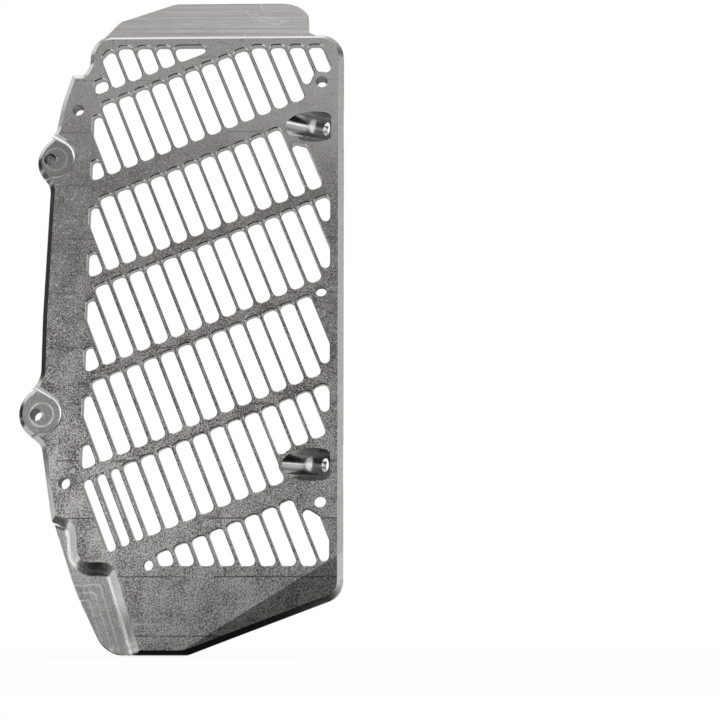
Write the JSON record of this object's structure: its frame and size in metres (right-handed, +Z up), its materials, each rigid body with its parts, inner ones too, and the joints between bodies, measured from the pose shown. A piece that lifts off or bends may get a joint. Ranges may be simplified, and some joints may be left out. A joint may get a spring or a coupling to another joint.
{
  "type": "motorcycle radiator guard",
  "caption": "Milled plate guard with slanted rows of rounded slots, side bolt lobes with posts, angled screw pockets, a stepped lower corner and a tab that leans back.",
  "frame": {"origin": "centre of the upper outer bolt hole, at the seat under its recess in the front", "axes": "+Z up along the guard's long sides, -Y out of the front face, +X to the right in front view, towards the straight inner edge"},
  "size_m": [0.1455, 0.0195, 0.3078],
  "materials": {
    "body": "fine milled, lightly speckled"
  },
  "bodies": {
    "root": {"radiator_guard": "body"}
  },
  "joints": []
}
